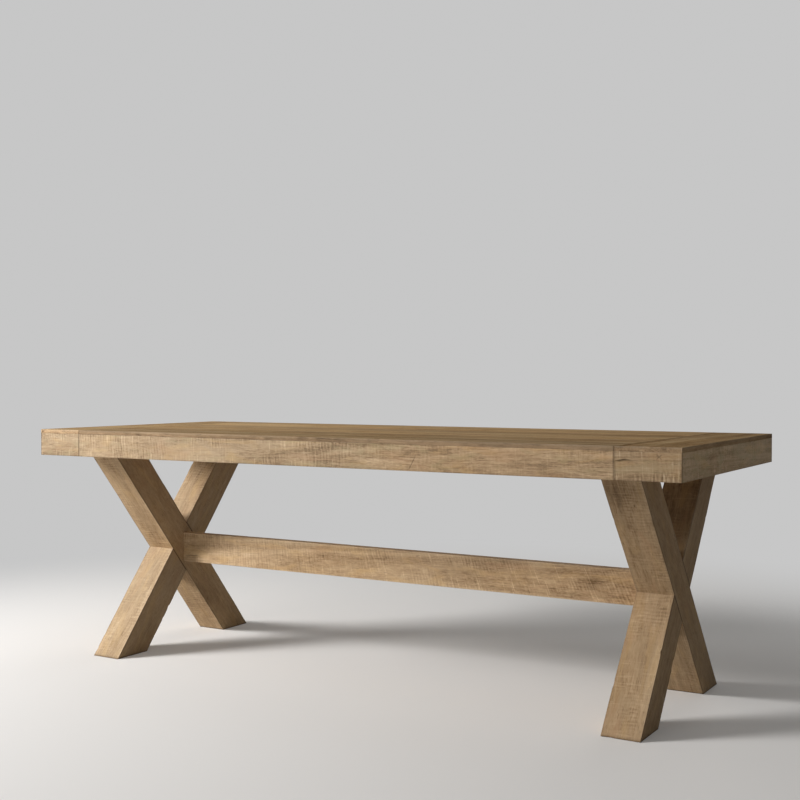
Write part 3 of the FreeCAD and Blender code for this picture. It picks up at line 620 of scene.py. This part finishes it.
def makeDeckBoard(number):
    width = 2 * table["halfWidth"] / deckBoard["count"]
    half = (table["seam"], width / 2, deckBoard["thick"] / 2)
    tongue, groove = deckBoard["tongue"], deckBoard["groove"]  # half their thickness
    grooved = number > 0
    tongued = number < deckBoard["count"] - 1
    front = (deckBoard["reach"] + deckBoard["slack"] if grooved else deckBoard["setback"]) - half[1]
    back = half[1] - (0 if tongued else deckBoard["setback"])
    tip = half[0] + deckBoard["endReach"]

    def filled(u, v, w):
        body = (np.abs(u) < half[0]) & (np.abs(v) < half[1])
        if grooved:
            body &= ~((v < front) & (np.abs(w) < groove))
        thin = np.abs(w) < tongue
        sideTongue = tongued & thin & (v > half[1]) & (np.abs(u) < half[0])
        endTongue = thin & (np.abs(u) > half[0]) & (v > front) & (v < back)
        return body | sideTongue | endTongue

    acrossCuts = [front, back] + ([half[1] + deckBoard["reach"]] if tongued else [])
    joined = ([-1] if grooved else []) + ([1] if tongued else [])
    seamsAndShadeLines = [seam(0, end, **deckBoard["endSeam"]) for end in (-1, 1)]
    seamsAndShadeLines += [seam(1, side, **deckBoard["sideSeam"]) for side in joined]
    board = {
        "origin": (0, (number + .5) * width - table["halfWidth"], table["height"] - half[2]),
        "along": (1, 0, 0), "across": (0, 1, 0), "half": half, "filled": filled,
        "lines": ((-tip, tip), acrossCuts, (-groove, -tongue, tongue, groove)), "seamsAndShadeLines": seamsAndShadeLines,
        "seed": deckBoard["firstSeed"] + deckBoard["seedStep"] * number, "tone": deckBoard["tones"][number],
        "edgeTone": [(1, side, deckBoard["edgeTone"]) for side in (-1, 1)],
        "warmth": deckBoard["warmths"][number], **deckBoard["face"],
    }
    makeTimber("deckBoard%d" % (number + 1), "deck_board_%d" % (number + 1), board, deckOak)


for number in range(deckBoard["count"]):
    makeDeckBoard(number)

breadboard = {
    "width": .174, "grooveDeep": .015, "grooveRun": .4146, "backTone": .82,
    "innerSeam": {"reach": .0018, "dark": .14, "edgeDark": .62},
    "endSeam": {"reach": .0034, "dark": 0.0, "edgeDark": .5},
    # the right breadboard is darker and the left paler, painted shade and painted light that steepen the
    # falloff from left to right
    "left": {"seed": 203, "tone": 1.08, "warmth": .16, "outerTone": .78, "frontTone": .92},
    "right": {"seed": 217, "tone": .76, "warmth": .36, "outerTone": 1.15, "frontTone": .82},
    "face": {
        **deckFace, "easing": (.0011, .0011, .0003, .0011, .0008, .0011), "hollow": .0002,
        "edgeDull": .6, "edgePatch": .13,
    },
}


def makeBreadboard(side, sign):
    half = (table["halfWidth"], breadboard["width"] / 2, deckBoard["thick"] / 2)
    groove, run = deckBoard["groove"], breadboard["grooveRun"]
    floor = half[1] - breadboard["grooveDeep"]
    own = breadboard[side]

    def filled(u, v, w):
        return ~((v > floor) & (np.abs(u) < run) & (np.abs(w) < groove))

    board = {
        "origin": (sign * (table["halfLength"] - half[1]), 0, table["height"] - half[2]),
        "along": (0, sign, 0), "across": (-sign, 0, 0), "half": half, "filled": filled,
        "lines": ((-run, run), (floor,), (-groove, groove)),
        "seed": own["seed"], "tone": own["tone"], "warmth": own["warmth"],
        "edgeTone": [(1, -1, own["outerTone"]), (0, -sign, own["frontTone"]),
                     (0, sign, breadboard["backTone"])],
        "seamsAndShadeLines": [seam(1, 1, **breadboard["innerSeam"])]
                 + [seam(0, end, **breadboard["endSeam"]) for end in (-1, 1)],
        **breadboard["face"],
    }
    makeTimber("breadboard" + side.title(), "breadboard_" + side, board, deckOak)


makeBreadboard("left", -1)
makeBreadboard("right", 1)
print("deck boards and breadboard ends made")

fascia = {
    "depth": .073, "thick": .028,
    "underShadeLine": seam(1, -1, .0030, .30),  # painted shade along the lower arris, where the eased edge faces down
    "endSeams": {"left": {"reach": .0026, "dark": .60}, "right": {"reach": .0042, "dark": .44}},
    "face": {
        "step": (.0022, .005, .007), "easing": (.0009, .0007, .0006, .0009, .00035, .0014), "hollow": .00025,
        "sawPitch": .0088, "sawDepth": .00009, "sawSlant": .05, "sawBow": .25,
        "warmth": .22, "saw": 1.0, "figure": .8, "blots": (8, .2),
    },
}


# an end cut of a fascia board, on the low or high end, as shapeBoard reads it
def endCut(run, end, mitred):
    inset = fascia["thick"] / 2 if mitred else 0.0
    return (end * run, end * (run - inset), end if mitred else 0.0)


def makeFascia(name, nodeName, run, middle, along, seamsAndShadeLines, marks):
    half = (run, fascia["depth"] / 2, fascia["thick"] / 2)
    height = table["height"] - deckBoard["thick"] - half[1]
    board = {
        "origin": (*middle, height), "along": along, "across": (0, 0, 1), "half": half,
        "seamsAndShadeLines": [*seamsAndShadeLines, fascia["underShadeLine"]], **fascia["face"], **marks,
    }
    makeTimber(name, nodeName, board, fasciaOak)


fasciaLong = {
    "marks": {
        "tone": .95, "blots": (40, .12),
        # the broad stains across the whole depth are painted light and shade: paler at -.05 along, darker at
        # .06 and .52, shaping how the light falls off
        "stains": [(.668, .004, .03, .020, .35), (.885, -.004, .03, .02, .2), (-.02, .008, .06, .02, .2),
                   (.06, 0, .34, .2, .32), (.52, 0, .10, .2, .28), (-.05, 0, .06, .2, -.28),
                   (.50, -.022, .06, .004, .4), (.73, -.030, .05, .005, .4)],
        "saw": [(-.9, 1.0), (-.3, 1.4), (-.05, 1.3), (.1, .8), (.3, .6), (.5, .7), (.86, .7), (.92, .8)],
        "figure": [(-.9, .6), (0, .75), (.45, 1.15), (.9, 1.45)],
        "warmth": [(-.9, .02), (.1, .04), (.5, .50), (.9, .40)],
    },
    "front": {
        "seed": 287,
        "checks": [
            {"at": (.339, -.012), "length": .058, "width": .0019, "depth": .0004, "dark": .55, "lean": 1.06},
        ],
    },
    "back": {"seed": 313},
}
outFromMiddle = table["halfWidth"] - fascia["thick"] / 2  # to the middle of a front or back board

for side, sign in (("front", -1), ("back", 1)):
    seamsAndShadeLines = [seam(0, end, **fascia["endSeams"][hand]) for end, hand in ((-1, "left"), (1, "right"))]
    middle = (0, sign * outFromMiddle)
    marks = {**fasciaLong["marks"], **fasciaLong[side]}
    makeFascia("fascia" + side.title(), "fascia_" + side, table["seam"], middle, (-sign, 0, 0), seamsAndShadeLines, marks)

fasciaReturn = {
    "mitreSeam": {"reach": .0022, "dark": .75},
    "left": {"tone": .88, "warmth": .08, "saw": 1.25},
    "right": {"tone": .765, "warmth": .28, "saw": 1.7},
    "frontLeft": {"seed": 308},
    "frontRight": {
        "seed": 318,
        "checks": [
            {"at": (-.066, .0148), "length": .054, "width": .0027, "depth": .0009, "dark": 1.0, "lean": .02},
            {"at": (.029, .0255), "length": .021, "width": .0018, "depth": .0004, "dark": .6, "lean": .72},
            {"at": (.029, .0255), "length": .021, "width": .0018, "depth": .0004, "dark": .6, "lean": -.72},
        ],
    },
    "backLeft": {"seed": 342},
    "backRight": {"seed": 352},
}


def makeReturn(face, faceSign, side, sideSign):
    run = (table["halfLength"] - table["seam"]) / 2
    outer = -faceSign * sideSign  # which end of the board carries the mitre
    seamsAndShadeLines = [seam(0, -outer, **fascia["endSeams"][side]), seam(0, outer, **fasciaReturn["mitreSeam"])]
    marks = {
        "ends": [endCut(run, end, end == outer) for end in (-1, 1)],
        **fasciaReturn[side], **fasciaReturn[face + side.title()],
    }
    middle = (sideSign * (table["halfLength"] + table["seam"]) / 2, faceSign * outFromMiddle)
    name = "return" + face.title() + side.title()
    nodeName = "fascia_return_%s_%s" % (face, side)
    makeFascia(name, nodeName, run, middle, (-faceSign, 0, 0), seamsAndShadeLines, marks)


for face, faceSign in (("front", -1), ("back", 1)):
    for side, sideSign in (("left", -1), ("right", 1)):
        makeReturn(face, faceSign, side, sideSign)

fasciaEnd = {
    "mitreSeam": {"reach": .0038, "dark": .6},
    "left": {"seed": 361, "tone": .98, "warmth": .18, "figure": .75},
    # the right end board is paler than the left, partly its own greyer colour and partly painted light on the
    # end the lamps leave in shade
    "right": {"seed": 379, "tone": 1.40, "warmth": 0.0, "figure": .5},
}

for side, sign in (("left", -1), ("right", 1)):
    run = table["halfWidth"]
    seamsAndShadeLines = [seam(0, end, **fasciaEnd["mitreSeam"]) for end in (-1, 1)]
    marks = {"ends": [endCut(run, end, True) for end in (-1, 1)], **fasciaEnd[side]}
    middle = (sign * (table["halfLength"] - fascia["thick"] / 2), 0)
    makeFascia("fasciaEnd" + side.title(), "fascia_end_" + side, run, middle, (0, sign, 0), seamsAndShadeLines, marks)
print("fascia boards made")

leg = {
    "half": .055, "crossing": .335, "top": .691, "middle": .900, "reach": .3635,
    "tenon": {"halfX": .020, "halfY": .05316, "top": .716, "below": .006, "above": .008, "cuts": (4, 7)},
    "lapLine": {"reach": .0022, "dark": .9}, "lapCorner": {"reach": .002, "dark": .7},
    "face": {
        "step": (.0028, .0055, .0055), "easing": (.0018, .0021, .0021, .0004, .0021, .0021), "chip": 2.0,
        "hollow": .0006, "sawPitch": .0125, "sawDepth": .00012, "sawSlant": .03, "sawBow": .1,
        "warmth": .30, "saw": .75, "figure": .60,
        # the first value of each, for the +X sides, flattens figure and saw marks as painted shade
        "sideSaw": (.28, 1.0, .85), "sideFigure": (.24, 1.0, .80),
        # painted shade, all four: a darker foot end standing in for contact shade, and thin dark lines beside
        # the arrises standing in for their shade
        "seamsAndShadeLines": [seam(0, -1, .005, .75), seam(2, 1, .0042, .48), seam(2, -1, .0042, .48),
                  seam(1, 1, .0032, .45)],
    },
    # knots, swirls and stains as the timber came, beside painted shade high on the front-footed legs and
    # painted highlights along their arrises
    "leftFront": {
        "seed": 367, "tone": .98, "warmth": .02, "knots": [(.202, -.012, .055, .024, .70)],
        # the pale strip at -.25 along the arris is a painted highlight of the bevel, and the broad stain at
        # .30 is painted shade high on the leg under the deck
        "stains": [(-.25, -.047, .16, .009, -.40), (.30, 0, .10, .2, .30)],
    },
    "leftBack": {"seed": 391, "tone": 1.02, "stains": [(.10, 0, .05, .05, .2)]},
    "rightFront": {
        "seed": 429, "tone": .88,
        # the pale strip at -.30 along the arris is a painted highlight of the bevel, and the stains at .22,
        # .27 and .31 are painted shade high on the leg under the deck
        "stains": [(-.171, 0, .010, .016, .25), (-.243, .026, .010, .020, .3), (-.13, .045, .018, .008, -.5),
                   (-.377, -.009, .008, .020, -.45), (-.30, -.046, .15, .010, -.5), (.27, 0, .12, .2, .55),
                   (.22, .01, .02, .02, .4), (.31, -.02, .02, .02, .4)],
    },
    "rightBack": {
        "seed": 453, "tone": .96, "knots": [(.385, -.015, .055, .007, 1.0)], "pith": (.15, -.13),
        "stains": [(.43, .02, .06, .035, .6), (.305, .018, .004, .014, .6), (.30, .03, .14, .03, .35)],
    },
}
legRise = leg["top"] - leg["crossing"]
legSplay = math.acos(leg["half"] / math.hypot(leg["reach"], legRise)) - math.atan2(legRise, leg["reach"])


# the upright tenon on the slanted top of a leg, in the leg's own coordinates
def legTenon(axes, lean):
    tenon = leg["tenon"]
    deep, wide = [np.linspace(-1, 1, count) for count in tenon["cuts"]]
    wide = wide * tenon["halfY"] + lean * legRise * math.tan(legSplay)
    tall = np.array([leg["top"] - tenon["below"], leg["top"] + tenon["above"], tenon["top"]])
    spots, faces = boardShell(deep * tenon["halfX"], wide, tall, solidFill)
    return (spots - np.array([0, 0, leg["crossing"]])) @ axes.T, faces


def makeLeg(side, sign, foot, footSign):
    lean = -footSign  # 1 runs from the front foot up to the back
    along = (0, lean * math.sin(legSplay), math.cos(legSplay))
    outwards = (0, -math.cos(legSplay), lean * math.sin(legSplay))
    across = np.cross(outwards, along)
    level = -lean * math.tan(legSplay)
    lap = lean / math.tan(2 * legSplay)
    shoulder = leg["half"] / math.sin(2 * legSplay)
    footEnd = -leg["crossing"] / math.cos(legSplay)
    topEnd = legRise / math.cos(legSplay)
    middle = (footEnd + topEnd) / 2
    half = ((topEnd - footEnd) / 2, leg["half"], leg["half"])
    cuts = ((footEnd, level), (-shoulder, lap), (shoulder, lap), (topEnd, level))

    # the other leg takes the notch
    def filled(u, v, w):
        return (np.abs(u + middle) > shoulder) | (v * lean > 0)

    # dark line where the shoulders of the lap meet the other leg
    def lapDirt(points):
        gap = np.abs(points.spots[:, 0] + middle) - shoulder
        onSide = np.abs(points.outward[:, 1]) > facing["side"]
        notched = -np.sign(points.spots[:, 1]) == lean
        line = np.exp(-(gap / leg["lapLine"]["reach"]) ** 2) * onSide * notched
        corner = (np.abs(points.outward[:, 1:]) > facing["corner"]).all(axis=1)
        corner = corner & (gap < leg["lapCorner"]["reach"])
        return np.maximum(leg["lapLine"]["dark"] * line, leg["lapCorner"]["dark"] * corner)

    board = {
        "origin": (sign * leg["middle"], 0, leg["crossing"]), "along": along, "across": across, "half": half,
        "filled": filled, "ends": [(place - middle, place, slope) for place, slope in cuts],
        "lines": ((-shoulder - middle, shoulder - middle), (0,), ()), "lapDirt": lapDirt,
        "tenon": legTenon(np.array([along, across, outwards]), lean),
        **leg["face"], **leg[side + foot.title()],
    }
    name = "leg" + side.title() + foot.title()
    makeTimber(name, "leg_%s_%s" % (side, foot), board, trestleOak)


for side, sign in (("left", -1), ("right", 1)):
    for foot, footSign in (("front", -1), ("back", 1)):
        makeLeg(side, sign, foot, footSign)
print("legs made")

stretcher = {
    "half": (.845, .051, .0165), "centre": .335, "stub": .870, "stubHalf": (.035, .010),
    "nutRoom": {"near": .768, "far": .800, "half": .014, "floor": .010},
    "face": {
        "step": (.0028, .0055, .006), "easing": (.0005, .0016, .0016, .0005, .0016, .0016), "hollow": .0004,
        "sawPitch": .011, "sawDepth": .00011, "sawSlant": .25, "sawTurn": .3, "sawBow": .3,
        "seed": 520, "tone": 1.11, "warmth": .28, "figure": [(-.8, .7), (.8, 1.0)],
        "saw": [(-.8, 1.0), (-.3, .8), (.1, 1.0), (.3, 1.3), (.55, 1.6), (.66, 1.0), (.73, .9), (.8, 1.0)],
        "checks": [
            {"at": (-.804, -.029), "length": .075, "width": .002, "depth": .0007, "dark": .8, "lean": .05},
        ],
        # the broad stains across the whole width at .45 and .76 along are painted shade, darkening the right
        # part as the light falls off
        "stains": [(.690, .006, .028, .022, .75), (.70, .012, .016, .010, .3), (.42, .038, .09, .012, .3),
                   (-.40, .02, .01, .008, .3), (.76, 0, .22, .2, .22), (.45, 0, .16, .2, .25)],
        "blots": (60, .15),
    },
}


def makeStretcher():
    half = stretcher["half"]
    stubTall, stubThick = stretcher["stubHalf"]
    near, far, tall, floor = [stretcher["nutRoom"][key] for key in ("near", "far", "half", "floor")]

    def filled(u, v, w):
        nutRoom = (np.abs(u) > near) & (np.abs(u) < far) & (np.abs(v) < tall) & (w < floor)
        stub = (np.abs(u) > half[0]) & (np.abs(v) < stubTall) & (np.abs(w) < stubThick)
        return ((np.abs(u) < half[0]) & ~nutRoom) | stub

    alongCuts = [sign * place for sign in (-1, 1) for place in (near, far, stretcher["stub"])]
    board = {
        "origin": (0, 0, stretcher["centre"]), "along": (1, 0, 0), "across": (0, 0, 1), "half": half,
        "filled": filled, **stretcher["face"],
        "lines": (alongCuts, (-stubTall, -tall, tall, stubTall), (-stubThick, stubThick, floor)),
    }
    makeTimber("stretcherBoard", "stretcher", board, trestleOak)


makeStretcher()
print("stretcher made")

plainLook = {
    "stops": (.30, .50, .68), "colours": [(.300, .195, .105), (.430, .300, .175), (.520, .385, .240)],
    "fibres": (4, .6), "blotches": ((5, 5, 9), 2), "blotchShare": .5,
    "rough": (.3, .7, .74, .60), "bump": (.25, .0006), "plyEdge": (.3, .7), "plyShare": .35,
}


# planed inner timber and the plywood core keep their solids; scale sets which way the grain runs
def innerFinish(name, scale, plies=0.0):
    material, tree, shader = newMaterial(name)
    place = addNode(tree, "ShaderNodeTexCoord").outputs["Object"]
    fibres = stretchedNoise(tree, place, scale, *plainLook["fibres"])
    blotches = stretchedNoise(tree, place, *plainLook["blotches"])
    shade = nudge(tree, fibres, blotches, plainLook["blotchShare"], noiseMiddle)
    colour = ramp(tree, shade, plainLook["stops"], plainLook["colours"])
    if plies:  # veneers show as bands on the panel's edges
        band = calculate(tree, "PINGPONG", splitVector(tree, place)[2], plies)
        start, full = [share * plies for share in plainLook["plyEdge"]]
        band = ranged(tree, band, start, full, 0.0, plainLook["plyShare"])
        colour = mixed(tree, band, colour, plainLook["colours"][0])
    rough = ranged(tree, shade, *plainLook["rough"])
    normal = bumped(tree, fibres, *plainLook["bump"])
    wire(tree, shader, {"Base Color": colour, "Roughness": rough, "Normal": normal})
    return material


zincLook = {
    "spangle": ((420, 420, 420), 3), "turned": ((60, 60, 2600), 1), "turnedShare": .6,
    "stops": (.3, .7), "colours": [(.42, .43, .44), (.62, .63, .64)],
    "rough": (.3, .7, .44, .28), "bump": (.2, .0002),
}


def zincFinish():
    material, tree, shader = newMaterial("zincSteel")
    place = addNode(tree, "ShaderNodeTexCoord").outputs["Object"]
    spangle = stretchedNoise(tree, place, *zincLook["spangle"])
    turned = stretchedNoise(tree, place, *zincLook["turned"])
    shade = nudge(tree, spangle, turned, zincLook["turnedShare"], noiseMiddle)
    colour = ramp(tree, shade, zincLook["stops"], zincLook["colours"])
    rough = ranged(tree, shade, *zincLook["rough"])
    normal = bumped(tree, turned, *zincLook["bump"])
    wire(tree, shader, {"Base Color": colour, "Metallic": 1.0, "Roughness": rough, "Normal": normal})
    return material


innerAlongX = innerFinish("innerTimberAlong", (9, 320, 320))
innerAlongY = innerFinish("innerTimberAcross", (320, 9, 320))
corePlywood = innerFinish("corePlywood", (7, 210, 210), .0015)
zincSteel = zincFinish()
innerFinishes = {  # by how a node's name starts; the fasteners have zinc
    ("core_panel",): corePlywood,
    ("cleat_front", "cleat_back", "corner_block", "seam_block"): innerAlongX,
    ("cleat_end", "cross_batten", "top_rail"): innerAlongY,
}
for name, node in cadNodes.items():
    if node.hide_render:
        continue
    finish = zincSteel
    for starts, innerMaterial in innerFinishes.items():
        if name.startswith(starts):
            finish = innerMaterial
    node.data.materials.clear()
    node.data.materials.append(finish)
print("inner pieces and fasteners finished")

stage = {
    "floor": (.82, .815, .808), "bounce": (.60, .59, .57), "rough": .9, "shine": .1,
    "radius": 40.0, "sides": 96, "backdrop": (.57, .57, .57), "glow": .12,
    "clear": 1.3, "fade": 3.1,  # the floor turns into the backdrop from the first to the second
}


# rays from the eye or a mirror, which see the backdrop and are not lit by it
def lightPath(tree):
    rays = addNode(tree, "ShaderNodeLightPath").outputs
    seen = calculate(tree, "MAXIMUM", rays["Is Camera Ray"], rays["Is Glossy Ray"])
    return calculate(tree, "MAXIMUM", seen, rays["Is Transmission Ray"])


# plain pale floor that runs out into a plain pale backdrop
def makeFloor():
    mesh = bpy.data.meshes.new("floor")
    sides = stage["sides"]
    turns = np.linspace(0, math.tau, sides, endpoint=False)
    rim = [(stage["radius"] * math.cos(turn), stage["radius"] * math.sin(turn), 0) for turn in turns]
    mesh.from_pydata([(0, 0, 0)] + rim, [], [(0, i + 1, (i + 1) % sides + 1) for i in range(sides)])
    floor = bpy.data.objects.new("floor", mesh)
    scene.collection.objects.link(floor)
    material, tree, shader = newMaterial("paleFloor")
    place = addNode(tree, "ShaderNodeTexCoord").outputs["Object"]
    away = addNode(tree, "ShaderNodeVectorMath", {0: place}, operation="LENGTH").outputs["Value"]
    far = ranged(tree, away, stage["clear"], stage["fade"], stage["glow"], 1.0)
    glow = addNode(tree, "ShaderNodeEmission", {"Color": stage["backdrop"], "Strength": 1.0}).outputs[0]
    sight = lightPath(tree)
    colour = mixed(tree, sight, stage["bounce"], stage["floor"])
    wire(tree, shader, {"Base Color": colour, "Roughness": stage["rough"]})
    wire(tree, shader, {"Specular IOR Level": stage["shine"]})
    share = times(tree, far, sight)
    blend = addNode(tree, "ShaderNodeMixShader", {0: share, 1: shader.outputs[0], 2: glow}).outputs[0]
    wire(tree, tree.nodes["Material Output"], {"Surface": blend})
    mesh.materials.append(material)


sky = {"colour": (1.0, .975, .93), "low": .06, "high": .16, "highFrom": .9}


def makeSky():
    world = bpy.data.worlds.new("studio")
    world.use_nodes = True
    scene.world = world
    tree = world.node_tree
    seen = lightPath(tree)
    wall = addNode(tree, "ShaderNodeBackground", {"Color": stage["backdrop"], "Strength": 1.0}).outputs[0]
    height = splitVector(tree, addNode(tree, "ShaderNodeTexCoord").outputs["Generated"])[2]
    strength = ranged(tree, height, 0.0, sky["highFrom"], sky["low"], sky["high"])
    light = tree.nodes["Background"]
    wire(tree, light, {"Color": sky["colour"], "Strength": strength})
    blend = addNode(tree, "ShaderNodeMixShader", {0: seen, 1: light.outputs[0], 2: wall}).outputs[0]
    wire(tree, tree.nodes["World Output"], {"Surface": blend})


lamps = {
    "key": {
        "at": (-5.0, -3.15, 2.55), "aim": (-.2, -.2, .45),
        "size": 1.8, "watts": 580, "colour": (1.0, .98, .96),
    },
    "fill": {
        "at": (-.8, -5.4, 1.8), "aim": (0, 0, .45),
        "size": 2.6, "watts": 26, "colour": (1.0, .99, .97),
    },
    "back": {
        "at": (.3, 5.4, 2.4), "aim": (0, .2, .5),
        "size": 2.6, "watts": 42, "colour": (1.0, .98, .95),
    },
}


def makeLamp(name, lamp):
    data = bpy.data.lights.new(name, "AREA")
    data.size = lamp["size"]
    data.energy = lamp["watts"]
    data.color = lamp["colour"]
    holder = bpy.data.objects.new(name, data)
    scene.collection.objects.link(holder)
    holder.location = lamp["at"]
    holder.rotation_euler = (Vector(lamp["aim"]) - Vector(lamp["at"])).to_track_quat("-Z", "Y").to_euler()
    holder.visible_camera = False


makeFloor()
makeSky()
for name, lamp in lamps.items():
    makeLamp(name, lamp)
print("floor, sky and lamps set")

eye = {"at": (1.980, -3.279, .924), "turn": 30.645, "dip": .931, "lens": 54.02, "sensor": 36.0}
cameraData = bpy.data.cameras.new("camera")
cameraData.sensor_width = eye["sensor"]
cameraData.lens = eye["lens"]
camera = bpy.data.objects.new("camera", cameraData)
scene.collection.objects.link(camera)
camera.location = eye["at"]
camera.rotation_euler = (math.radians(90 - eye["dip"]), 0, math.radians(eye["turn"]))
scene.camera = camera
print("camera set")

bpy.context.view_layer.update()
